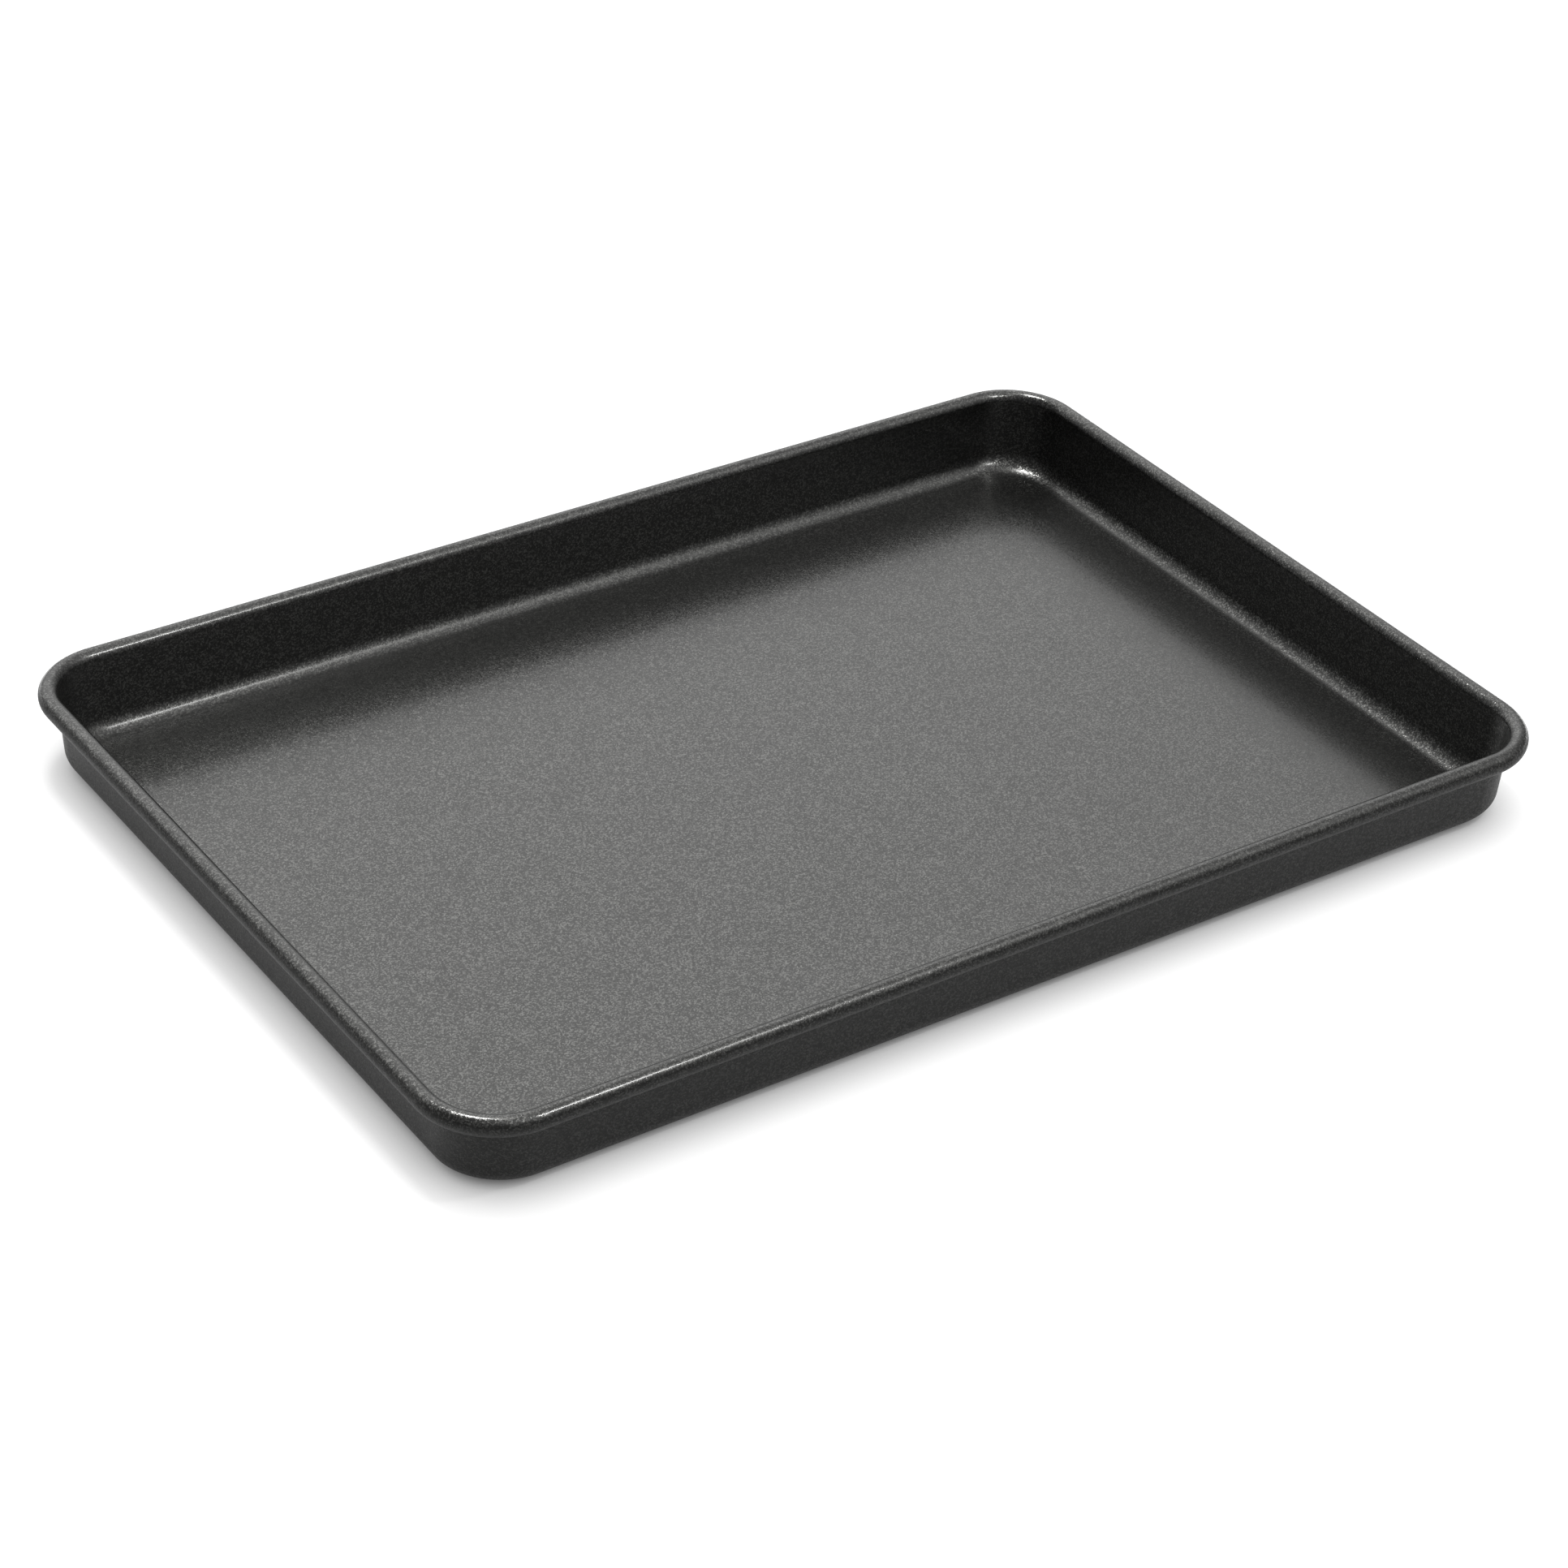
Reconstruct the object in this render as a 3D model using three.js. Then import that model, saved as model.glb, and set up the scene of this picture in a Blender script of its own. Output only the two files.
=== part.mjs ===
// A rolled-rim sheet pan: one deep-drawn sheet shell, and the hoop of wire that its rim is rolled around.
// Units are millimetres. +X runs along the long side, +Z is up, and the origin is the middle of the
// resting face. Every level of the pan is a rounded rectangle. The sheet's inner face has one corner radius from
// the floor up to the rim, as a drawing punch leaves it, and the sheet's outside and the roll follow round it.

import * as THREE from 'three';

// Overall sizes, taken over the rolled rim
const RIM_LENGTH = 432;
const RIM_WIDTH = 305;
const PAN_HEIGHT = 31.8;

// The drawn sheet: gauge, how far the walls lean out, the bend into the floor, and the inside plan corners
const SHEET = 0.8;
const WALL_DRAFT_DEGREES = 3;
const COVE_RADIUS = 7;
const CORNER_RADIUS = 21.5;

// The rolled rim: its outside diameter, and the slit between its free edge and the wall
const BEAD_DIAMETER = 7;
const CURL_SLIT = 0.5;

// The wire in the roll: its play all round, and the gap where its two ends butt
const WIRE_CLEARANCE = 0.3;
const WIRE_END_GAP = 0.8;

// Facets
const CORNER_STEPS = 10;
const COVE_STEPS = 6;
const CURL_STEPS = 15;
const WIRE_SIDES = 12;

// Section of the pan, in points of inset (how far in from the rim's outermost line), height, and proud (how far
// the point stands outside the sheet's inner face in plan, which its corners add to their radius)
const draft = THREE.MathUtils.degToRad(WALL_DRAFT_DEGREES);
const beadRadius = BEAD_DIAMETER / 2;
const bead = { inset: beadRadius, height: PAN_HEIGHT - beadRadius };

// The wall's inner face leaves the bead at a tangent and leans in towards the floor
const wallTop = {
  inset: bead.inset + beadRadius * Math.cos(draft),
  height: bead.height + beadRadius * Math.sin(draft),
};
const wallFoot = { height: SHEET + COVE_RADIUS - COVE_RADIUS * Math.sin(draft) };
wallFoot.inset = wallTop.inset + (wallTop.height - wallFoot.height) * Math.tan(draft);
const cove = { inset: wallFoot.inset + COVE_RADIUS * Math.cos(draft), height: SHEET + COVE_RADIUS };

// The roll turns out over the top and under, and stops short of the wall's outer face
const curlStart = Math.PI - draft;
const curlEnd = curlStart + Math.acos((beadRadius - SHEET - CURL_SLIT) / beadRadius) - 2 * Math.PI;

/** Points of inset and height on an arc about a centre; angle 0 points out of the pan, a right angle points up. */
function sectionArc(centre, radius, from, to, steps) {
  const points = [];
  for (let step = 0; step <= steps; step++) {
    const angle = from + ((to - from) * step) / steps;
    const reach = radius * Math.cos(angle);
    points.push({ inset: centre.inset - reach, height: centre.height + radius * Math.sin(angle), reach });
  }
  return points;
}

/** Section points of the cove, at a depth in the sheet from its inner face. */
function coveArc(depth, from, to) {
  const radius = COVE_RADIUS + depth;
  const points = sectionArc(cove, radius, from, to, COVE_STEPS);
  return points.map(({ inset, height, reach }) => ({ inset, height, proud: (reach * depth) / radius }));
}

/** Section points of a turn about the middle of the bead, which keeps its round section at the corners. */
function beadArc(radius, from, to, steps) {
  const points = sectionArc(bead, radius, from, to, steps);
  return points.map(({ inset, height }) => ({ inset, height, proud: wallTop.inset - inset }));
}

/** One level of the pan: a rounded rectangle, counter-clockwise from the middle of the +X side. */
function levelRing({ inset, height, proud }) {
  const radius = CORNER_RADIUS + proud;
  const cornerReachX = RIM_LENGTH / 2 - inset - radius;
  const cornerReachY = RIM_WIDTH / 2 - inset - radius;
  const ring = [];
  for (let corner = 0; corner < 4; corner++) {
    const middle = (corner + 0.5) * (Math.PI / 2);
    const centreX = Math.sign(Math.cos(middle)) * cornerReachX;
    const centreY = Math.sign(Math.sin(middle)) * cornerReachY;
    for (let step = 0; step <= CORNER_STEPS; step++) {
      const angle = (corner + step / CORNER_STEPS) * (Math.PI / 2);
      ring.push(new THREE.Vector3(centreX + radius * Math.cos(angle), centreY + radius * Math.sin(angle), height));
    }
  }
  return ring;
}

/** Triangles of a grid of rows and columns, with the last row or column joined to the first where it wraps. */
function gridTriangles(rows, columns, wrapRows, wrapColumns) {
  const triangles = [];
  const lastRow = wrapRows ? rows : rows - 1;
  const lastColumn = wrapColumns ? columns : columns - 1;
  for (let row = 0; row < lastRow; row++) {
    for (let column = 0; column < lastColumn; column++) {
      const a = row * columns + column;
      const b = row * columns + ((column + 1) % columns);
      const c = ((row + 1) % rows) * columns + ((column + 1) % columns);
      const d = ((row + 1) % rows) * columns + column;
      triangles.push(a, b, c, a, c, d);
    }
  }
  return triangles;
}

/** Closes a convex loop of points with a fan about its middle, which is added to the points. */
function closeLoop(points, triangles, loop) {
  const middle = new THREE.Vector3();
  loop.forEach((index) => middle.add(points[index]));
  const hub = points.push(middle.divideScalar(loop.length)) - 1;
  loop.forEach((index, place) => triangles.push(hub, index, loop[(place + 1) % loop.length]));
}

/** A solid's geometry from its shared points and its triangles. */
function solidGeometry(points, triangles) {
  const geometry = new THREE.BufferGeometry().setFromPoints(points);
  geometry.setIndex(triangles);
  geometry.computeVertexNormals();
  return geometry;
}

/** The drawn shell: underside, cove, wall, roll out and back, wall, cove, and the floor's upper face. */
function panShellGeometry() {
  const floorEnd = -Math.PI / 2;
  const section = [
    ...coveArc(SHEET, floorEnd, -draft),
    ...beadArc(beadRadius - SHEET, curlStart, curlEnd, CURL_STEPS),
    ...beadArc(beadRadius, curlEnd, curlStart, CURL_STEPS),
    ...coveArc(0, -draft, floorEnd),
  ];
  const points = section.flatMap(levelRing);
  const columns = points.length / section.length;
  const triangles = gridTriangles(section.length, columns, false, true);
  const columnNumbers = [...Array(columns).keys()];
  const lastRowStart = (section.length - 1) * columns;
  closeLoop(points, triangles, [...columnNumbers].reverse());
  closeLoop(points, triangles, columnNumbers.map((column) => lastRowStart + column));
  return solidGeometry(points, triangles);
}

/** The wire hoop inside the roll, bent from one length whose ends butt in the middle of the +X side. */
function rimWireGeometry() {
  const wireRadius = beadRadius - SHEET - WIRE_CLEARANCE;
  const fullTurn = beadArc(wireRadius, Math.PI, -Math.PI, WIRE_SIDES);
  const section = fullTurn.slice(0, WIRE_SIDES).reverse();
  const points = section.flatMap((place) => {
    const ring = levelRing(place);
    const endX = ring[0].x;
    const start = new THREE.Vector3(endX, WIRE_END_GAP / 2, place.height);
    const end = new THREE.Vector3(endX, -WIRE_END_GAP / 2, place.height);
    return [start, ...ring, end];
  });
  const columns = points.length / section.length;
  const triangles = gridTriangles(section.length, columns, true, false);
  const rowStarts = section.map((_, row) => row * columns);
  closeLoop(points, triangles, rowStarts);
  closeLoop(points, triangles, rowStarts.map((start) => start + columns - 1).reverse());
  return solidGeometry(points, triangles);
}

const nonstickCoating = new THREE.MeshStandardMaterial({ color: 0x4b4c4e, metalness: 0.7, roughness: 0.35 });
const wireSteel = new THREE.MeshStandardMaterial({ color: 0xb4b6b8, metalness: 1, roughness: 0.4 });

const panShell = new THREE.Mesh(panShellGeometry(), nonstickCoating);
panShell.name = 'pan_shell';

const rimWire = new THREE.Mesh(rimWireGeometry(), wireSteel);
rimWire.name = 'rim_wire';

const sheetPan = new THREE.Group();
sheetPan.name = 'sheet_pan';
sheetPan.add(panShell, rimWire);

export default sheetPan;
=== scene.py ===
"""Looks of a rolled-rim sheet pan: a coated, deep-drawn shell and the hoop of wire in its rim.

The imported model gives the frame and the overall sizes, and every piece here is made around it.
Lengths are metres. +X runs along the long side, +Z is up, and the origin is under the middle of the pan.
"""

import logging
import math
from dataclasses import dataclass
from enum import Enum
from typing import Mapping, Optional, Sequence, Tuple, Union

import bpy
from mathutils import Matrix, Vector

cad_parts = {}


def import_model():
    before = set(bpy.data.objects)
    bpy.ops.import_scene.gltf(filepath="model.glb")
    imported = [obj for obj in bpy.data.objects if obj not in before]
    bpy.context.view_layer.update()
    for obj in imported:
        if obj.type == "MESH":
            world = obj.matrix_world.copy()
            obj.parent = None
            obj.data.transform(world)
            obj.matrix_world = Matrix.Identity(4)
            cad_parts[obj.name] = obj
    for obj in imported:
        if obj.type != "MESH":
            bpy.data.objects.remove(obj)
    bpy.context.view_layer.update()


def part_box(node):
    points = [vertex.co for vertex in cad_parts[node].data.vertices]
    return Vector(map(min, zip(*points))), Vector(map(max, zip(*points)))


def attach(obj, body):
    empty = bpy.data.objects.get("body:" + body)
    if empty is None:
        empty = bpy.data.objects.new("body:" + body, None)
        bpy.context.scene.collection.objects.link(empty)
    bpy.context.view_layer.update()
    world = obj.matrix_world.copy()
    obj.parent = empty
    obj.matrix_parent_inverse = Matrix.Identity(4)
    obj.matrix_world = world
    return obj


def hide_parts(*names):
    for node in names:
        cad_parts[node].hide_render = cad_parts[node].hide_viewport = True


BODY = "root"
LOG = logging.getLogger("sheet_pan")

Colour = Tuple[float, float, float, float]
Place = Tuple[float, float, float]
Span = Tuple[float, float]
SocketValue = Union[bpy.types.NodeSocket, bpy.types.Material, float, int, bool, str, Sequence[float]]

WHITE: Colour = (1.0, 1.0, 1.0, 1.0)
UP: Place = (0.0, 0.0, 1.0)
LEVEL: Place = (1.0, 1.0, 0.0)


class Node(str, Enum):
    """Pieces of the solid model."""

    SHELL = "pan_shell"
    WIRE = "rim_wire"


class Slot(str, Enum):
    """Names of the material slots."""

    COATING = "nonstick_coating"
    WIRE_STEEL = "wire_steel"


class Kind(str, Enum):
    """Socket kinds of a node group's interface."""

    LENGTH = "NodeSocketFloat"
    ANGLE = "NodeSocketFloat"
    COUNT = "NodeSocketInt"
    VECTOR = "NodeSocketVector"
    MATERIAL = "NodeSocketMaterial"
    GEOMETRY = "NodeSocketGeometry"


class TreeBuilder:
    """Adds nodes to one node tree and links them."""

    MIX_SHARE, MIX_FIRST, MIX_SECOND, MIX_RESULT = 0, 6, 7, 2

    def __init__(self, tree: bpy.types.NodeTree) -> None:
        """Starts on a tree.

        Args:
            tree: The node tree to add to.
        """
        self.tree = tree

    def add(
        self,
        kind: str,
        inputs: Optional[Mapping[Union[str, int], SocketValue]] = None,
        **settings: object,
    ) -> bpy.types.Node:
        """Adds one node.

        Args:
            kind: The node's type name.
            inputs: What goes into its sockets, by name or by number: another socket or a plain value.
            **settings: The node's own properties.

        Returns:
            The new node.
        """
        node = self.tree.nodes.new(kind)
        for name, value in settings.items():
            setattr(node, name, value)
        for key, value in (inputs or {}).items():
            self.feed(node.inputs[key], value)
        return node

    def feed(self, socket: bpy.types.NodeSocket, value: SocketValue) -> None:
        """Links a socket to another one, or sets its plain value.

        Args:
            socket: The input socket.
            value: The output socket to link, or the value.
        """
        if isinstance(value, bpy.types.NodeSocket):
            self.tree.links.new(value, socket)
        else:
            socket.default_value = value

    def math(self, operation: str, first: SocketValue, second: SocketValue = 0.0) -> bpy.types.NodeSocket:
        """Adds a Math node.

        Args:
            operation: Its operation, such as ADD.
            first: The first value.
            second: The second value, where the operation takes one.

        Returns:
            The result's socket.
        """
        return self.add("ShaderNodeMath", {0: first, 1: second}, operation=operation).outputs[0]

    def vector_math(
        self, operation: str, first: SocketValue, second: SocketValue = (0.0, 0.0, 0.0)
    ) -> bpy.types.NodeSocket:
        """Adds a Vector Math node.

        Args:
            operation: Its operation, such as ADD.
            first: The first vector.
            second: The second vector, where the operation takes one.

        Returns:
            The result's socket.
        """
        node = self.add("ShaderNodeVectorMath", {0: first, 1: second}, operation=operation)
        return node.outputs["Value"] if operation == "DOT_PRODUCT" else node.outputs["Vector"]

    def scaled(self, vector: SocketValue, factor: SocketValue) -> bpy.types.NodeSocket:
        """Returns a vector times a number."""
        node = self.add("ShaderNodeVectorMath", {0: vector, "Scale": factor}, operation="SCALE")
        return node.outputs["Vector"]

    def part(self, vector: SocketValue, axis: str) -> bpy.types.NodeSocket:
        """Returns a vector's X, Y or Z."""
        return self.add("ShaderNodeSeparateXYZ", {"Vector": vector}).outputs[axis]

    def share(self, value: SocketValue, start: SocketValue, end: SocketValue) -> bpy.types.NodeSocket:
        """Returns how far a value has come from a start, which gives 0, to an end, which gives 1."""
        node = self.add("ShaderNodeMapRange", {"Value": value, "From Min": start, "From Max": end})
        return node.outputs["Result"]

    def ranged(self, share: SocketValue, low: SocketValue, high: SocketValue) -> bpy.types.NodeSocket:
        """Returns a share of 0 to 1 spread from low to high."""
        node = self.add("ShaderNodeMapRange", {"Value": share, "To Min": low, "To Max": high})
        return node.outputs["Result"]

    def mixed(self, share: SocketValue, first: SocketValue, second: SocketValue) -> bpy.types.NodeSocket:
        """Returns a colour that a share of 0 to 1 takes from a first colour to a second one."""
        inputs = {self.MIX_SHARE: share, self.MIX_FIRST: first, self.MIX_SECOND: second}
        return self.add("ShaderNodeMix", inputs, data_type="RGBA").outputs[self.MIX_RESULT]


class NodeGroup:
    """A node group with named inputs and outputs."""

    def __init__(self, name: str, kind: str) -> None:
        """Makes an empty group.

        Args:
            name: The group's name.
            kind: The tree's type name.
        """
        self.tree = bpy.data.node_groups.new(name, kind)
        self.build = TreeBuilder(self.tree)
        self.inlet = self.build.add("NodeGroupInput")
        self.outlet = self.build.add("NodeGroupOutput")

    def takes(self, name: str, kind: Kind) -> bpy.types.NodeSocket:
        """Adds an input.

        Args:
            name: The input's name.
            kind: The input's kind.

        Returns:
            The socket that gives the input inside the group.
        """
        self.tree.interface.new_socket(name, in_out="INPUT", socket_type=kind.value)
        return self.inlet.outputs[name]

    def gives(self, name: str, kind: Kind, value: bpy.types.NodeSocket) -> None:
        """Adds an output.

        Args:
            name: The output's name.
            kind: The output's kind.
            value: The socket inside the group that it puts out.
        """
        self.tree.interface.new_socket(name, in_out="OUTPUT", socket_type=kind.value)
        self.build.feed(self.outlet.inputs[name], value)

    def placed(self, build: TreeBuilder, inputs: Mapping[str, SocketValue]) -> bpy.types.Node:
        """Places a shader group in a material.

        Args:
            build: The builder of the material's nodes.
            inputs: What goes into the group's inputs, by name.

        Returns:
            The group's node there.
        """
        return build.add("ShaderNodeGroup", inputs, node_tree=self.tree)


class ShapeGroup(NodeGroup):
    """A geometry node group that makes one piece from named sizes."""

    ORDER = "path_order"
    ORDER_STEP = 1000.0
    OUTWARD = "outward"
    CORNER_SHIFT = "corner_shift"

    def __init__(self, name: str) -> None:
        """Makes an empty geometry group.

        Args:
            name: The group's name.
        """
        super().__init__(name, "GeometryNodeTree")
        self.tree.is_modifier = True

    def point(self, position: SocketValue) -> bpy.types.NodeSocket:
        """Returns one loose point at a place."""
        return self.build.add("GeometryNodePoints", {"Count": 1, "Position": position}).outputs[0]

    def arc(
        self,
        centre: SocketValue,
        radius: SocketValue,
        start: SocketValue,
        sweep: SocketValue,
        resolution: SocketValue,
    ) -> bpy.types.NodeSocket:
        """Makes the points of an arc in the section's plane.

        Args:
            centre: The arc's centre.
            radius: Its radius.
            start: The angle that it starts at.
            sweep: The angle that it turns through, less than 0 for clockwise.
            resolution: How many points it has.

        Returns:
            The points' socket.
        """
        arc = self.build.add(
            "GeometryNodeCurveArc",
            {"Resolution": resolution, "Radius": radius, "Start Angle": start, "Sweep Angle": sweep},
            mode="RADIUS",
        )
        inputs = {"Geometry": arc.outputs["Curve"], "Translation": centre}
        moved = self.build.add("GeometryNodeTransform", inputs).outputs[0]
        points = self.build.add("GeometryNodeCurveToPoints", {"Curve": moved}, mode="EVALUATED")
        return points.outputs["Points"]

    def marked(
        self, geometry: bpy.types.NodeSocket, name: str, value: SocketValue, data_type: str = "FLOAT"
    ) -> bpy.types.NodeSocket:
        """Stores a value on each of the points.

        Args:
            geometry: The points, curve or mesh.
            name: The attribute's name.
            value: The value to store.
            data_type: The attribute's type.

        Returns:
            The marked geometry's socket.
        """
        inputs = {"Geometry": geometry, "Name": name}
        node = self.build.add("GeometryNodeStoreNamedAttribute", inputs, data_type=data_type, domain="POINT")
        self.build.feed(node.inputs["Value"], value)
        return node.outputs[0]

    def mark(self, name: str, data_type: str = "FLOAT") -> bpy.types.NodeSocket:
        """Returns the value that was stored on each point under a name."""
        node = self.build.add("GeometryNodeInputNamedAttribute", {"Name": name}, data_type=data_type)
        return node.outputs["Attribute"]

    def polyline(self, stretches: Sequence[bpy.types.NodeSocket]) -> bpy.types.NodeSocket:
        """Joins stretches of points, in order, into one open line.

        Args:
            stretches: The points' sockets, from the line's start to its end.

        Returns:
            The curve's socket.
        """
        index = self.build.add("GeometryNodeInputIndex").outputs[0]
        joined = self.build.add("GeometryNodeJoinGeometry")
        for place, points in enumerate(stretches):
            order = self.build.math("ADD", index, place * self.ORDER_STEP)
            self.build.feed(joined.inputs[0], self.marked(points, self.ORDER, order))
        inputs = {"Points": joined.outputs[0], "Weight": self.mark(self.ORDER)}
        return self.build.add("GeometryNodePointsToCurves", inputs).outputs["Curves"]

    def filleted(
        self, curve: bpy.types.NodeSocket, radius: SocketValue, steps: SocketValue
    ) -> bpy.types.NodeSocket:
        """Rounds a curve's corners.

        Args:
            curve: The curve with sharp corners.
            radius: The corners' radius.
            steps: How many facets each corner has.

        Returns:
            The rounded curve's socket.
        """
        inputs = {"Curve": curve, "Count": steps, "Radius": radius, "Limit Radius": False}
        return self.build.add("GeometryNodeFilletCurve", inputs, mode="POLY").outputs[0]

    def rounded_rectangle(
        self, length: SocketValue, width: SocketValue, radius: SocketValue, steps: SocketValue
    ) -> bpy.types.NodeSocket:
        """Makes a closed rectangle with round corners.

        Args:
            length: Its size along X.
            width: Its size along Y.
            radius: The corners' radius.
            steps: How many facets each corner has.

        Returns:
            The curve's socket.
        """
        flat = self.build.add("GeometryNodeCurvePrimitiveQuadrilateral", {"Width": length, "Height": width})
        return self.filleted(flat.outputs[0], radius, steps)

    def swept(
        self, path: bpy.types.NodeSocket, section: bpy.types.NodeSocket, caps: bool
    ) -> bpy.types.NodeSocket:
        """Sweeps a section along a level path, with its X out of the path and its Y up.

        Args:
            path: The curve to follow.
            section: The section, drawn about the path.
            caps: Whether the ends of a closed section are filled.

        Returns:
            The mesh's socket.
        """
        level = self.build.add("GeometryNodeSetCurveNormal", {"Curve": path}, mode="Z_UP")
        upright = self.build.add("GeometryNodeTransform", {"Geometry": section, "Scale": (1.0, -1.0, 1.0)})
        inputs = {"Curve": level.outputs[0], "Profile Curve": upright.outputs[0], "Fill Caps": caps}
        mesh = self.build.add("GeometryNodeCurveToMesh", inputs).outputs[0]
        return self.build.add("GeometryNodeFlipFaces", {"Mesh": mesh}).outputs[0]

    def facing_out(self, path: bpy.types.NodeSocket) -> bpy.types.NodeSocket:
        """Marks each point of a level counter-clockwise path with the direction out of it.

        Args:
            path: The path's curve.

        Returns:
            The marked curve's socket.
        """
        tangent = self.build.add("GeometryNodeInputTangent").outputs[0]
        outward = self.build.vector_math("CROSS_PRODUCT", tangent, UP)
        return self.marked(path, self.OUTWARD, outward, "FLOAT_VECTOR")

    def tightened(self, mesh: bpy.types.NodeSocket) -> bpy.types.NodeSocket:
        """Moves each point's corner centre outwards by its corner shift, which makes that corner tighter.

        Args:
            mesh: A sweep along a path that faces out, with a section that is marked with shifts.

        Returns:
            The mesh's socket.
        """
        place = self.build.add("GeometryNodeInputPosition").outputs[0]
        diagonal = self.build.vector_math("MULTIPLY", self.build.vector_math("SIGN", place), LEVEL)
        step = self.build.vector_math("SUBTRACT", diagonal, self.mark(self.OUTWARD, "FLOAT_VECTOR"))
        offset = self.build.scaled(step, self.mark(self.CORNER_SHIFT))
        return self.build.add("GeometryNodeSetPosition", {"Geometry": mesh, "Offset": offset}).outputs[0]

    def finish(
        self, mesh: bpy.types.NodeSocket, weld: float, crease: float, material: bpy.types.NodeSocket
    ) -> None:
        """Welds the mesh, smooths it up to a crease angle, and puts it out with its material.

        Args:
            mesh: The mesh's socket.
            weld: Points closer than this become one.
            crease: Edges that turn more than this stay sharp.
            material: The material's socket.
        """
        welded = self.build.add("GeometryNodeMergeByDistance", {"Geometry": mesh, "Distance": weld})
        smooth = self.build.add(
            "GeometryNodeSetShadeSmooth", {"Geometry": welded.outputs[0], "Shade Smooth": True}, domain="FACE"
        )
        angle = self.build.add("GeometryNodeInputMeshEdgeAngle").outputs["Unsigned Angle"]
        sharp = self.build.math("GREATER_THAN", angle, crease)
        creased = self.build.add(
            "GeometryNodeSetShadeSmooth",
            {"Geometry": smooth.outputs[0], "Selection": sharp, "Shade Smooth": False},
            domain="EDGE",
        )
        real = self.build.add("GeometryNodeRealizeInstances", {"Geometry": creased.outputs[0]})
        inputs = {"Geometry": real.outputs[0], "Material": material}
        self.gives("Geometry", Kind.GEOMETRY, self.build.add("GeometryNodeSetMaterial", inputs).outputs[0])

    def piece(self, name: str, values: Mapping[str, SocketValue]) -> bpy.types.Object:
        """Makes the piece as an object with a plain mesh.

        Args:
            name: The object's name.
            values: A value for each of the group's inputs, by name.

        Returns:
            The object, at the origin and with no modifier.
        """
        made = bpy.data.objects.new(name, bpy.data.meshes.new(name + "_start"))
        bpy.context.scene.collection.objects.link(made)
        modifier = made.modifiers.new(name, "NODES")
        modifier.node_group = self.tree
        for socket in self.tree.interface.items_tree:
            if socket.in_out == "INPUT":
                modifier[socket.identifier] = values[socket.name]
        depsgraph = bpy.context.evaluated_depsgraph_get()
        mesh = bpy.data.meshes.new_from_object(made.evaluated_get(depsgraph), depsgraph=depsgraph)
        made.modifiers.remove(modifier)
        made.data = mesh
        mesh.name = name
        return made


class Effects:
    """Shader node groups that the finishes share."""

    CELL_MIDDLE: Place = (0.5, 0.5, 0.5)
    MOTTLE_DETAIL = 3.0

    def __init__(self) -> None:
        """Builds the groups."""
        self.flakes = self._flakes()
        self.mottle = self._mottle()

    def _flakes(self) -> NodeGroup:
        """Builds the grain of tiny tilted facets.

        Returns:
            A group that gives each facet's brightness, from 0 to 1, and its normal.
        """
        group = NodeGroup("facet_grain", "ShaderNodeTree")
        place = group.takes("Place", Kind.VECTOR)
        scale = group.takes("Per Metre", Kind.LENGTH)
        tilt = group.takes("Tilt", Kind.LENGTH)
        build = group.build
        cells = build.add("ShaderNodeTexVoronoi", {"Vector": place, "Scale": scale})
        spread = cells.outputs["Color"]
        centred = build.vector_math("SUBTRACT", spread, self.CELL_MIDDLE)
        normal = build.add("ShaderNodeNewGeometry").outputs["Normal"]
        tilted = build.vector_math("ADD", normal, build.scaled(centred, tilt))
        red = build.add("ShaderNodeSeparateColor", {"Color": spread}).outputs["Red"]
        group.gives("Brightness", Kind.LENGTH, red)
        group.gives("Normal", Kind.VECTOR, build.vector_math("NORMALIZE", tilted))
        return group

    def _mottle(self) -> NodeGroup:
        """Builds the soft unevenness of a surface.

        Returns:
            A group that gives an amount from 0 to 1.
        """
        group = NodeGroup("soft_mottle", "ShaderNodeTree")
        place = group.takes("Place", Kind.VECTOR)
        scale = group.takes("Per Metre", Kind.LENGTH)
        inputs = {"Vector": place, "Scale": scale, "Detail": self.MOTTLE_DETAIL}
        noise = group.build.add("ShaderNodeTexNoise", inputs)
        group.gives("Amount", Kind.LENGTH, noise.outputs[0])
        return group


def blank_material(name: str) -> Tuple[bpy.types.Material, TreeBuilder]:
    """Makes a material with no nodes.

    Args:
        name: The material's name.

    Returns:
        The material and a builder for its nodes.
    """
    material = bpy.data.materials.new(name)
    material.use_nodes = True
    material.node_tree.nodes.clear()
    return material, TreeBuilder(material.node_tree)


def new_material(name: str) -> Tuple[bpy.types.Material, TreeBuilder, bpy.types.Node]:
    """Makes a material that holds one Principled shader.

    Args:
        name: The material's name.

    Returns:
        The material, a builder for its nodes, and the shader's node.
    """
    material, build = blank_material(name)
    shader = build.add("ShaderNodeBsdfPrincipled")
    build.add("ShaderNodeOutputMaterial", {"Surface": shader.outputs["BSDF"]})
    return material, build, shader


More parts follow.
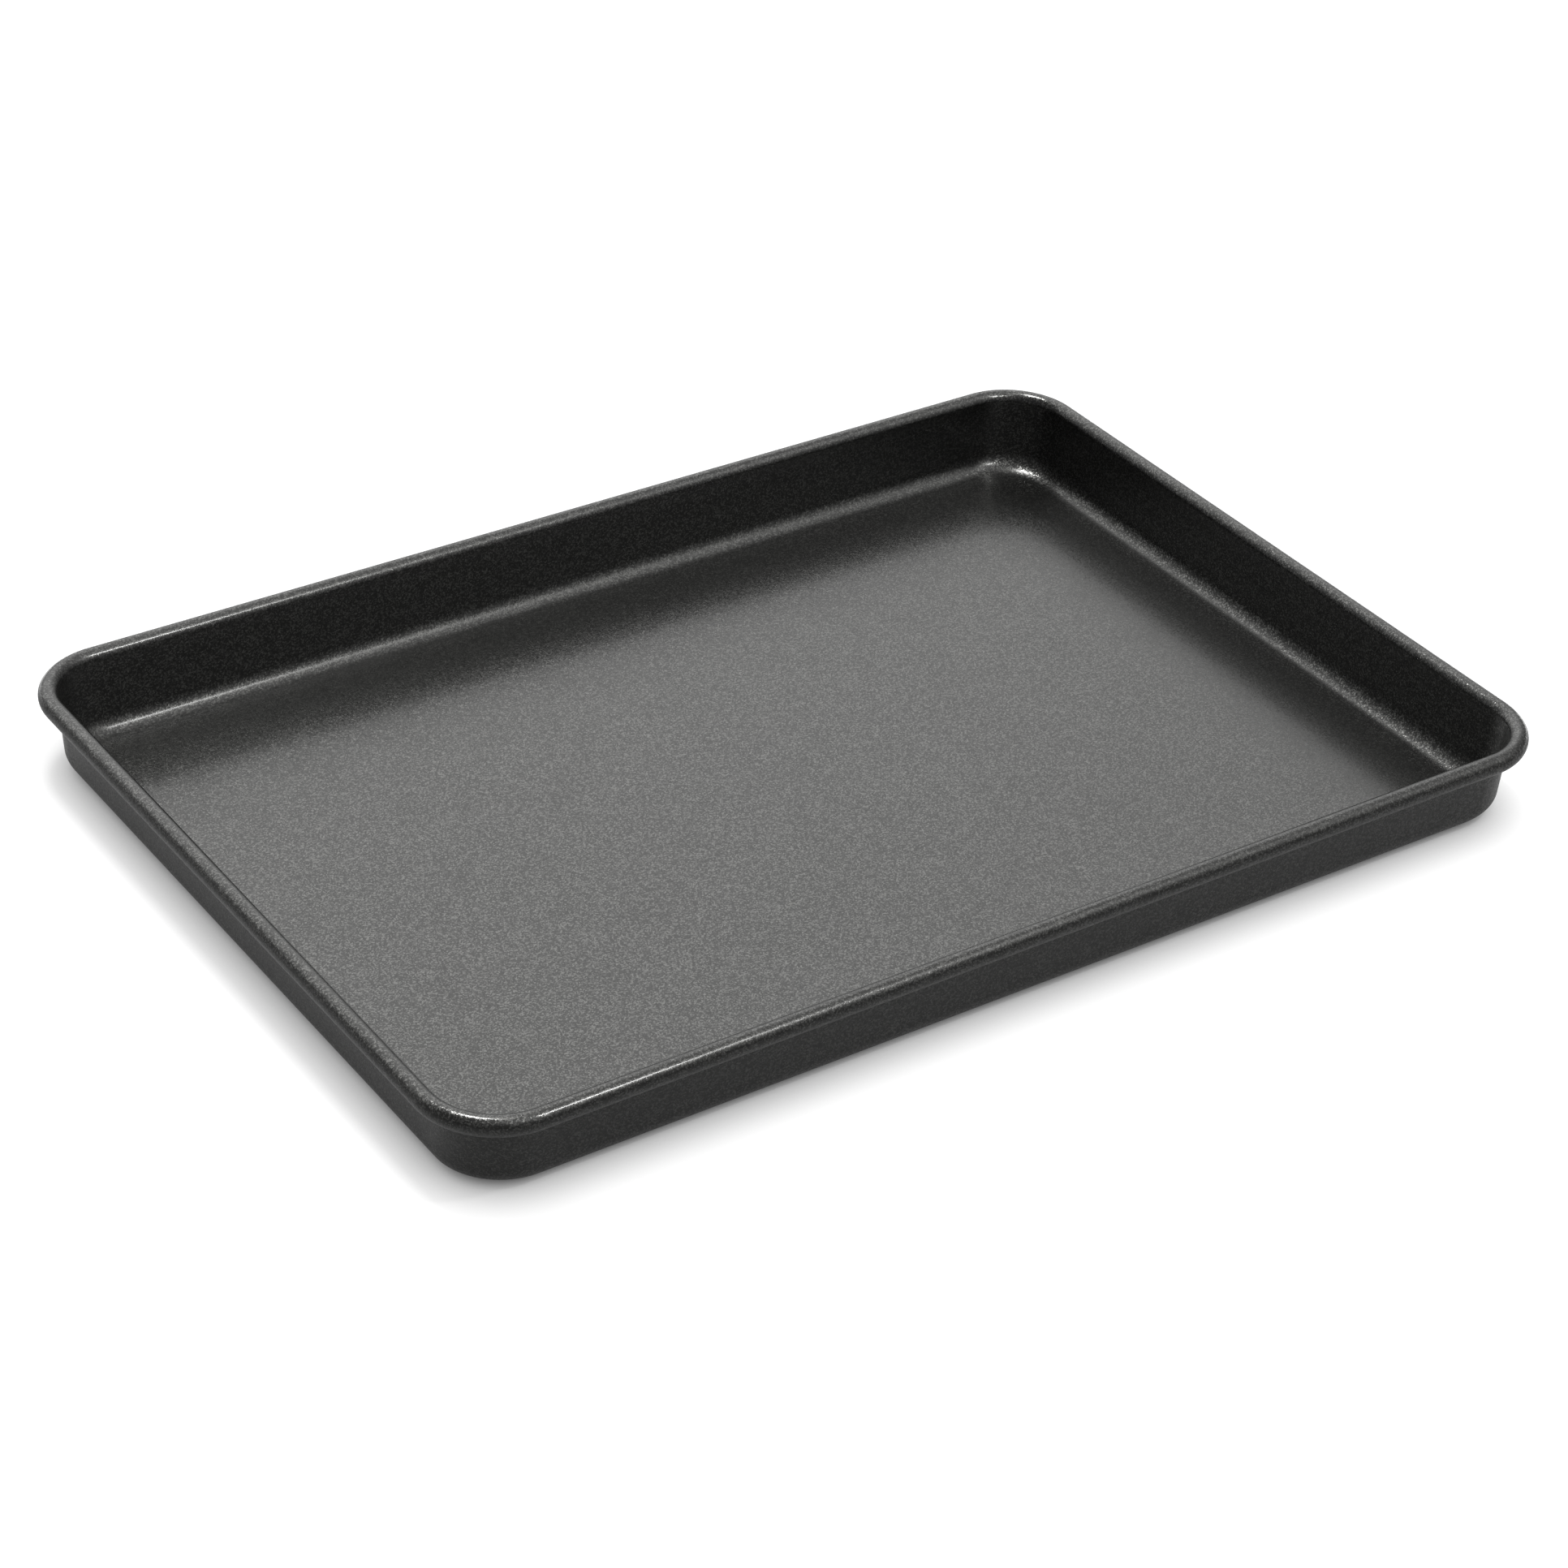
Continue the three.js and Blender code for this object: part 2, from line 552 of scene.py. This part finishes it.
@dataclass(frozen=True)
class CoatingFinish:
    """The baked-on coating: charcoal with fine tilted metal flakes in it, under a smooth satin film.

    The film is thinner in the cove and on the walls, and the outside has a thinner, duller film. The
    outside's colour is also darkened there, which is painted shade for the outer walls' dim reflection of the
    shaded table.
    Heights are above the resting face, and upward is the Z of the surface's normal.
    """

    name: str = "nonstick_coating"
    charcoal: Colour = (0.053, 0.053, 0.051, 1.0)
    metal_flake: Colour = (0.192, 0.192, 0.184, 1.0)
    metal_from: float = 0.5
    metal_share: float = 0.88
    charcoal_ior: float = 1.28
    grain_roughness: float = 0.25
    flakes_per_metre: float = 2200.0
    flake_tilt: float = 0.17
    film_weights: Span = (0.65, 0.85)
    film_ior: float = 1.52
    film_roughness: float = 0.18
    outside_film: float = 0.06
    # Colour factor on the outside: painted shade that dims the outer walls.
    outside_painted_shade: float = 0.36
    outside_metal: float = 0.1
    outside_from: float = -0.05
    outside_upward: Span = (0.75, 0.45)
    outside_roughness: float = 0.5
    sheltered_film: float = 0.5
    sheltered_roughness: float = 0.32
    cove_heights: Span = (0.001, 0.003)
    rim_heights: Span = (0.022, 0.026)
    mottle_per_metre: float = 55.0

    def material(self, effects: Effects) -> bpy.types.Material:
        """Makes the coating's material.

        Args:
            effects: The shared node groups.

        Returns:
            The material.
        """
        material, build, shader = new_material(self.name)
        place = build.add("ShaderNodeTexCoord").outputs["Object"]
        flakes = effects.flakes.placed(
            build, {"Place": place, "Per Metre": self.flakes_per_metre, "Tilt": self.flake_tilt}
        )
        mottle = effects.mottle.placed(build, {"Place": place, "Per Metre": self.mottle_per_metre})
        outside = self._outside(build, place)
        sheltered = self._sheltered(build, place)

        metal = build.share(flakes.outputs["Brightness"], self.metal_from, 1.0)
        colour = build.mixed(metal, self.charcoal, self.metal_flake)
        # Darkens the colour on the outside: painted shade for the outer walls' dim reflection of the shaded
        # table.
        painted_shade = build.ranged(outside, 1.0, self.outside_painted_shade)
        build.feed(shader.inputs["Base Color"], build.scaled(colour, painted_shade))
        build.feed(shader.inputs["Metallic"], build.ranged(outside, self.metal_share, self.outside_metal))
        build.feed(shader.inputs["Normal"], flakes.outputs["Normal"])
        inside_grain = build.ranged(sheltered, self.grain_roughness, self.sheltered_roughness)
        build.feed(shader.inputs["Roughness"], build.ranged(outside, inside_grain, self.outside_roughness))

        film = build.ranged(mottle.outputs["Amount"], *self.film_weights)
        left_outside = build.ranged(outside, 1.0, self.outside_film)
        left_in_cove = build.ranged(sheltered, 1.0, self.sheltered_film)
        film_left = build.math("MULTIPLY", left_outside, left_in_cove)
        build.feed(shader.inputs["Coat Weight"], build.math("MULTIPLY", film, film_left))

        shader.inputs["IOR"].default_value = self.charcoal_ior
        shader.inputs["Coat IOR"].default_value = self.film_ior
        shader.inputs["Coat Roughness"].default_value = self.film_roughness
        return material

    def _sheltered(self, build: TreeBuilder, place: bpy.types.NodeSocket) -> bpy.types.NodeSocket:
        """Marks the cove and the walls, where the film stays thin and dull.

        Args:
            build: The builder of the material's nodes.
            place: The place on the pan.

        Returns:
            A value from 0 on the floor and the rim to 1 in the cove and on the walls.
        """
        height = build.part(place, "Z")
        over_floor = build.share(height, *self.cove_heights)
        in_rim = build.share(height, *self.rim_heights)
        return build.math("SUBTRACT", over_floor, in_rim)

    def _outside(self, build: TreeBuilder, place: bpy.types.NodeSocket) -> bpy.types.NodeSocket:
        """Marks the outside of the pan, which gets a thinner, duller film than the inside and a darkened
        colour that is painted shade.

        Args:
            build: The builder of the material's nodes.
            place: The place on the pan.

        Returns:
            A value from 0 on the inside and the rim's crown to 1 on the outside and the underside.
        """
        level_out = build.vector_math("NORMALIZE", build.vector_math("MULTIPLY", place, LEVEL))
        normal = build.add("ShaderNodeNewGeometry").outputs["Normal"]
        facing = build.vector_math("DOT_PRODUCT", normal, level_out)
        faces_out = build.math("GREATER_THAN", facing, self.outside_from)
        turned = build.share(build.part(normal, "Z"), *self.outside_upward)
        return build.math("MULTIPLY", turned, faces_out)


@dataclass(frozen=True)
class WireFinish:
    """Plain drawn steel wire: grey, with dull and bright patches from the die's grease."""

    name: str = "wire_steel"
    dull: Colour = (0.36, 0.365, 0.37, 1.0)
    bright: Colour = (0.58, 0.585, 0.59, 1.0)
    smooth_roughness: float = 0.32
    dull_roughness: float = 0.48
    mottle_per_metre: float = 160.0
    pits_per_metre: float = 5200.0
    pit_tilt: float = 0.12

    def material(self, effects: Effects) -> bpy.types.Material:
        """Makes the wire's material.

        Args:
            effects: The shared node groups.

        Returns:
            The material.
        """
        material, build, shader = new_material(self.name)
        place = build.add("ShaderNodeTexCoord").outputs["Object"]
        mottle = effects.mottle.placed(build, {"Place": place, "Per Metre": self.mottle_per_metre})
        pits = effects.flakes.placed(
            build, {"Place": place, "Per Metre": self.pits_per_metre, "Tilt": self.pit_tilt}
        )
        amount = mottle.outputs["Amount"]
        build.feed(shader.inputs["Base Color"], build.mixed(amount, self.dull, self.bright))
        roughness = build.ranged(amount, self.dull_roughness, self.smooth_roughness)
        build.feed(shader.inputs["Roughness"], roughness)
        build.feed(shader.inputs["Normal"], pits.outputs["Normal"])
        shader.inputs["Metallic"].default_value = 1.0
        return material


@dataclass(frozen=True)
class PanSizes:
    """Sizes of the pan. The overall sizes come from the frame, and the rest are the solid model's.

    Places in the section are inset (how far in from the rim's outermost line) and height. The sheet's inner
    face has one corner radius from the floor up to the rim.
    """

    rim_length: float
    rim_width: float
    height: float
    sheet: float = 0.0008
    wall_draft: float = math.radians(3.0)
    cove_radius: float = 0.007
    corner_radius: float = 0.0215
    bead_diameter: float = 0.007
    curl_slit: float = 0.0005
    wire_clearance: float = 0.0003
    wire_end_gap: float = 0.0008

    @classmethod
    def from_frame(cls) -> "PanSizes":
        """Returns the sizes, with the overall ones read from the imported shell."""
        low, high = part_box(Node.SHELL.value)
        return cls(rim_length=high.x - low.x, rim_width=high.y - low.y, height=high.z - low.z)

    @property
    def bead_radius(self) -> float:
        """Outside radius of the rolled rim."""
        return self.bead_diameter / 2

    @property
    def bead_height(self) -> float:
        """Height of the rolled rim's middle."""
        return self.height - self.bead_radius

    @property
    def cove_height(self) -> float:
        """Height of the middle of the bend between wall and floor."""
        return self.sheet + self.cove_radius

    @property
    def wall_top_inset(self) -> float:
        """Inset of the line where the wall's inner face runs into the rolled rim."""
        return self.bead_radius * (1 + math.cos(self.wall_draft))

    @property
    def wall_reach(self) -> float:
        """How far out of the flat floor's edge that line is."""
        slope = math.sin(self.wall_draft)
        top_height = self.bead_height + self.bead_radius * slope
        foot_height = self.cove_height - self.cove_radius * slope
        lean = (top_height - foot_height) * math.tan(self.wall_draft)
        return lean + self.cove_radius * math.cos(self.wall_draft)

    @property
    def cove_inset(self) -> float:
        """Inset of the flat floor's edge, which is under the middle of the bend."""
        return self.wall_top_inset + self.wall_reach

    @property
    def curl_start(self) -> float:
        """Angle on the bead where the wall runs into it."""
        return math.pi - self.wall_draft

    @property
    def curl_sweep(self) -> float:
        """Angle that the rim is rolled through before its free edge meets the slit."""
        return 2 * math.pi - math.acos((self.bead_radius - self.sheet - self.curl_slit) / self.bead_radius)

    @property
    def bead_corner_radius(self) -> float:
        """Plan radius of the corners along the rolled rim's middle line."""
        return self.corner_radius + self.wall_top_inset - self.bead_radius

    @property
    def wire_radius(self) -> float:
        """Radius of the wire in the roll."""
        return self.bead_radius - self.sheet - self.wire_clearance


@dataclass
class PanShell:
    """The drawn sheet: floor, cove, leaning walls and the rim rolled over its wire."""

    sizes: PanSizes
    floor_margin: float = 0.002
    corner_steps: int = 28
    cove_points: int = 17
    curl_points: int = 45
    weld: float = 0.000004
    crease: float = math.radians(35.0)

    def build(self, coating: bpy.types.Material) -> bpy.types.Object:
        """Makes the shell and sets it in the frame.

        Args:
            coating: The material of its finish.

        Returns:
            The shell's object.
        """
        sizes = self.sizes
        floor_inset = sizes.cove_inset + self.floor_margin
        shell = self._shape().piece(
            "pan_shell_drawn",
            {
                "Floor Length": sizes.rim_length - 2 * floor_inset,
                "Floor Width": sizes.rim_width - 2 * floor_inset,
                "Floor Corner": sizes.corner_radius - self.floor_margin,
                "Corner Steps": self.corner_steps,
                "Cove Centre": (self.floor_margin, sizes.cove_height, 0.0),
                "Cove Radius": sizes.cove_radius,
                "Cove Points": self.cove_points,
                "Draft": sizes.wall_draft,
                "Wall Reach": sizes.wall_reach,
                "Bead Centre": (floor_inset - sizes.bead_radius, sizes.bead_height, 0.0),
                "Bead Radius": sizes.bead_radius,
                "Curl Start": sizes.curl_start,
                "Curl Sweep": sizes.curl_sweep,
                "Curl Points": self.curl_points,
                "Sheet": sizes.sheet,
                "Coating": coating,
            },
        )
        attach(shell, BODY)
        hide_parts(Node.SHELL.value)
        return shell

    def _shape(self) -> ShapeGroup:
        """Builds the group that sweeps the sheet's section round the rim and closes the floor.

        Returns:
            The geometry group.
        """
        group = ShapeGroup("drawn_shell")
        length = group.takes("Floor Length", Kind.LENGTH)
        width = group.takes("Floor Width", Kind.LENGTH)
        corner = group.takes("Floor Corner", Kind.LENGTH)
        steps = group.takes("Corner Steps", Kind.COUNT)
        cove_centre = group.takes("Cove Centre", Kind.VECTOR)
        cove_radius = group.takes("Cove Radius", Kind.LENGTH)
        cove_points = group.takes("Cove Points", Kind.COUNT)
        draft = group.takes("Draft", Kind.ANGLE)
        wall_reach = group.takes("Wall Reach", Kind.LENGTH)
        bead_centre = group.takes("Bead Centre", Kind.VECTOR)
        bead_radius = group.takes("Bead Radius", Kind.LENGTH)
        curl_start = group.takes("Curl Start", Kind.ANGLE)
        curl_sweep = group.takes("Curl Sweep", Kind.ANGLE)
        curl_points = group.takes("Curl Points", Kind.COUNT)
        sheet = group.takes("Sheet", Kind.LENGTH)
        coating = group.takes("Coating", Kind.MATERIAL)
        build = group.build

        straight_down = -math.pi / 2
        cove_sweep = build.math("SUBTRACT", math.pi / 2, draft)
        cove_back = build.math("MULTIPLY", cove_sweep, -1.0)
        wall_angle = build.math("MULTIPLY", draft, -1.0)
        curl_back = build.math("MULTIPLY", curl_sweep, -1.0)
        curl_end = build.math("SUBTRACT", curl_start, curl_sweep)
        outer_cove = build.math("ADD", cove_radius, sheet)
        inner_curl = build.math("SUBTRACT", bead_radius, sheet)

        place = build.add("GeometryNodeInputPosition").outputs[0]
        from_cove = build.vector_math("SUBTRACT", place, cove_centre)
        reach = build.part(from_cove, "X")
        outer_reach = build.math("MULTIPLY", reach, build.math("DIVIDE", cove_radius, outer_cove))
        upper_edge = build.add("ShaderNodeCombineXYZ", {"Y": sheet}).outputs[0]
        stretches = [
            (group.point((0.0, 0.0, 0.0)), 0.0),
            (group.arc(cove_centre, outer_cove, straight_down, cove_sweep, cove_points), outer_reach),
            (group.arc(bead_centre, inner_curl, curl_start, curl_back, curl_points), wall_reach),
            (group.arc(bead_centre, bead_radius, curl_end, curl_sweep, curl_points), wall_reach),
            (group.arc(cove_centre, cove_radius, wall_angle, cove_back, cove_points), reach),
            (group.point(upper_edge), 0.0),
        ]
        marked = [group.marked(points, group.CORNER_SHIFT, shift) for points, shift in stretches]
        section = group.polyline(marked)
        path = group.facing_out(group.rounded_rectangle(length, width, corner, steps))
        wall = group.tightened(group.swept(path, section, caps=False))

        face = build.add("GeometryNodeFillCurve", {"Curve": path}, mode="NGONS").outputs[0]
        lift = build.add("ShaderNodeCombineXYZ", {"Z": sheet}).outputs[0]
        floor = build.add("GeometryNodeTransform", {"Geometry": face, "Translation": lift}).outputs[0]
        underside = build.add("GeometryNodeFlipFaces", {"Mesh": face}).outputs[0]

        joined = build.add("GeometryNodeJoinGeometry")
        for mesh in (wall, floor, underside):
            build.feed(joined.inputs[0], mesh)
        group.finish(joined.outputs[0], self.weld, self.crease, coating)
        return group


@dataclass
class RimWire:
    """The hoop of wire that the rim is rolled around, bent from one length with butted ends."""

    sizes: PanSizes
    corner_steps: int = 16
    round_steps: int = 20
    weld: float = 0.000001
    crease: float = math.radians(45.0)

    def build(self, steel: bpy.types.Material) -> bpy.types.Object:
        """Makes the hoop and sets it in the frame.

        Args:
            steel: The material of its finish.

        Returns:
            The hoop's object.
        """
        sizes = self.sizes
        hoop = self._shape().piece(
            "rim_wire_hoop",
            {
                "Reach X": sizes.rim_length / 2 - sizes.bead_radius,
                "Reach Y": sizes.rim_width / 2 - sizes.bead_radius,
                "Height": sizes.bead_height,
                "Corner": sizes.bead_corner_radius,
                "Corner Steps": self.corner_steps,
                "Half Gap": sizes.wire_end_gap / 2,
                "Wire Radius": sizes.wire_radius,
                "Round Steps": self.round_steps,
                "Steel": steel,
            },
        )
        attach(hoop, BODY)
        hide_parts(Node.WIRE.value)
        return hoop

    def _shape(self) -> ShapeGroup:
        """Builds the group that sweeps the wire's round section along the rim.

        Returns:
            The geometry group.
        """
        group = ShapeGroup("wire_hoop")
        reach_x = group.takes("Reach X", Kind.LENGTH)
        reach_y = group.takes("Reach Y", Kind.LENGTH)
        height = group.takes("Height", Kind.LENGTH)
        corner = group.takes("Corner", Kind.LENGTH)
        steps = group.takes("Corner Steps", Kind.COUNT)
        half_gap = group.takes("Half Gap", Kind.LENGTH)
        radius = group.takes("Wire Radius", Kind.LENGTH)
        round_steps = group.takes("Round Steps", Kind.COUNT)
        steel = group.takes("Steel", Kind.MATERIAL)
        build = group.build

        back_x = build.math("MULTIPLY", reach_x, -1.0)
        near_y = build.math("MULTIPLY", reach_y, -1.0)
        gap_end = build.math("MULTIPLY", half_gap, -1.0)
        bends = [
            (reach_x, half_gap),
            (reach_x, reach_y),
            (back_x, reach_y),
            (back_x, near_y),
            (reach_x, near_y),
            (reach_x, gap_end),
        ]
        points = []
        for x, y in bends:
            place = build.add("ShaderNodeCombineXYZ", {"X": x, "Y": y, "Z": height}).outputs[0]
            points.append(group.point(place))
        path = group.filleted(group.polyline(points), corner, steps)
        section = build.add(
            "GeometryNodeCurvePrimitiveCircle", {"Resolution": round_steps, "Radius": radius}
        ).outputs["Curve"]
        group.finish(group.swept(path, section, caps=True), self.weld, self.crease, steel)
        return group


@dataclass(frozen=True)
class PhotoCamera:
    """The camera that took the photograph, as fitted to the pan's outline."""

    location: Place = (-0.68048, -0.95628, 0.76736)
    heading_degrees: float = 35.443
    dip_degrees: float = 33.229
    roll_degrees: float = 2.737
    focal_pixels: float = 5028.0
    frame_pixels: float = 1932.0
    sensor_mm: float = 36.0

    def build(self) -> bpy.types.Object:
        """Makes the camera and sets it as the scene's.

        Returns:
            The camera's object.
        """
        data = bpy.data.cameras.new("photo_camera")
        data.sensor_fit = "HORIZONTAL"
        data.sensor_width = self.sensor_mm
        data.lens = self.focal_pixels / self.frame_pixels * self.sensor_mm
        camera = bpy.data.objects.new("photo_camera", data)
        camera.matrix_world = Matrix.Translation(self.location) @ self._turn().to_4x4()
        bpy.context.scene.collection.objects.link(camera)
        bpy.context.scene.camera = camera
        return camera

    def _turn(self) -> Matrix:
        """Returns the camera's rotation: heading from +Y towards +X, dip below level, and roll."""
        heading, dip = math.radians(self.heading_degrees), math.radians(self.dip_degrees)
        roll = math.radians(self.roll_degrees)
        ahead = Vector((math.sin(heading) * math.cos(dip), math.cos(heading) * math.cos(dip), -math.sin(dip)))
        level_right = Vector((math.cos(heading), -math.sin(heading), 0.0))
        level_up = level_right.cross(ahead)
        right = math.cos(roll) * level_right + math.sin(roll) * level_up
        up = -math.sin(roll) * level_right + math.cos(roll) * level_up
        return Matrix((right, up, -ahead)).transposed()


@dataclass(frozen=True)
class Softbox:
    """A rectangular studio lamp that faces a point of the pan."""

    name: str
    location: Place
    size: Span
    radiance: float
    aim: Place = (0.0, 0.0, 0.0)

    def build(self) -> bpy.types.Object:
        """Makes the lamp.

        Returns:
            The lamp's object.
        """
        data = bpy.data.lights.new(self.name, "AREA")
        data.shape = "RECTANGLE"
        data.size, data.size_y = self.size
        data.energy = self.radiance * math.pi * self.size[0] * self.size[1]
        lamp = bpy.data.objects.new(self.name, data)
        lamp.location = self.location
        away = Vector(self.location) - Vector(self.aim)
        lamp.rotation_euler = away.to_track_quat("Z", "Y").to_euler()
        bpy.context.scene.collection.objects.link(lamp)
        return lamp


@dataclass(frozen=True)
class Glow:
    """A soft bright patch of the surroundings, which fades round the direction that it lies in."""

    heading_degrees: float
    height_degrees: float
    tightness: float
    level: float

    @property
    def direction(self) -> Vector:
        """Direction of the patch, with its heading counted from +Y towards +X."""
        heading, height = math.radians(self.heading_degrees), math.radians(self.height_degrees)
        level_reach = math.cos(height)
        return Vector((math.sin(heading) * level_reach, math.cos(heading) * level_reach, math.sin(height)))


@dataclass(frozen=True)
class Studio:
    """A white table in a dim room, lit by soft glows behind and over the pan and by two lamps above it."""

    table_size: float = 8.0
    table_white: Colour = (0.5, 0.5, 0.5, 1.0)
    table_lift: float = 0.8
    # Reach of the painted contact shadow on the table.
    painted_shadow_reach: float = 0.015
    table_drop: float = 0.0002
    room_level: float = 0.12
    glows: Tuple[Glow, ...] = (
        Glow(35.0, 33.0, 12.0, 1.05),
        Glow(-10.0, 33.0, 12.0, 1.15),
        Glow(140.0, 62.0, 6.0, 1.05),
    )
    lamps: Tuple[Softbox, ...] = (
        Softbox("back_softbox", (0.0, 0.93, 2.85), (0.5, 0.5), 37.0),
        Softbox("right_softbox", (0.38, -0.645, 1.18), (0.1, 0.1), 78.0),
    )

    def build(self) -> None:
        """Makes the table, the surroundings and the lamps."""
        self._table()
        self._surroundings()
        for lamp in self.lamps:
            lamp.build()

    def _table(self) -> bpy.types.Object:
        """Makes the table, which shows white and keeps the pan's cast shadow. Its white lift is also darkened
        by ambient occlusion near the pan, a painted contact shadow that is darkest where the two touch.

        Returns:
            The table's object.
        """
        half = self.table_size / 2
        corners = [(-half, -half), (half, -half), (half, half), (-half, half)]
        mesh = bpy.data.meshes.new("table")
        mesh.from_pydata([(x, y, -self.table_drop) for x, y in corners], [], [(0, 1, 2, 3)])
        table = bpy.data.objects.new("table", mesh)
        bpy.context.scene.collection.objects.link(table)
        material, build = blank_material("table_white")
        paint = build.add("ShaderNodeBsdfDiffuse", {"Color": self.table_white})
        seen = self._seen(build)
        # Ambient occlusion dims the table's white lift near the pan. This is a painted contact shadow, not
        # one cast by the lamps.
        painted_contact_shadow = build.add("ShaderNodeAmbientOcclusion", {"Distance": self.painted_shadow_reach}).outputs["AO"]
        shown = build.math("MULTIPLY", seen, painted_contact_shadow)
        lift = build.add("ShaderNodeEmission", {"Strength": build.math("MULTIPLY", shown, self.table_lift)})
        both = build.add("ShaderNodeAddShader", {0: paint.outputs[0], 1: lift.outputs[0]})
        build.add("ShaderNodeOutputMaterial", {"Surface": both.outputs[0]})
        mesh.materials.append(material)
        return table

    @staticmethod
    def _seen(build: TreeBuilder) -> bpy.types.NodeSocket:
        """Returns 1 for rays that show the background, straight or in a mirror or glass, and 0 for others."""
        path = build.add("ShaderNodeLightPath")
        mirrored = build.math("MAXIMUM", path.outputs["Is Camera Ray"], path.outputs["Is Glossy Ray"])
        return build.math("MAXIMUM", mirrored, path.outputs["Is Transmission Ray"])

    def _surroundings(self) -> None:
        """Sets the world: the room's dim level, and the glows on top of it."""
        world = bpy.data.worlds.new("studio")
        bpy.context.scene.world = world
        world.use_nodes = True
        world.node_tree.nodes.clear()
        build = TreeBuilder(world.node_tree)
        direction = build.add("ShaderNodeTexCoord").outputs["Generated"]
        level = self.room_level
        for glow in self.glows:
            facing = build.vector_math("DOT_PRODUCT", direction, glow.direction)
            fade = build.math("MULTIPLY", build.math("SUBTRACT", facing, 1.0), glow.tightness)
            shine = build.math("MULTIPLY", build.math("EXPONENT", fade), glow.level)
            level = build.math("ADD", shine, level)
        light = build.add("ShaderNodeBackground", {"Color": WHITE, "Strength": level})
        build.add("ShaderNodeOutputWorld", {"Surface": light.outputs[0]})


def main() -> None:
    """Builds the pan and its studio around the frame."""
    logging.basicConfig(level=logging.INFO, format="%(name)s: %(message)s")
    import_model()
    bpy.context.scene.view_settings.view_transform = "Standard"

    PhotoCamera().build()
    Studio().build()
    effects = Effects()
    sizes = PanSizes.from_frame()
    pieces = [
        PanShell(sizes).build(CoatingFinish().material(effects)),
        RimWire(sizes).build(WireFinish().material(effects)),
    ]
    for piece in pieces:
        LOG.info("%s: %d faces", piece.name, len(piece.data.polygons))


if __name__ == "__main__":
    main()
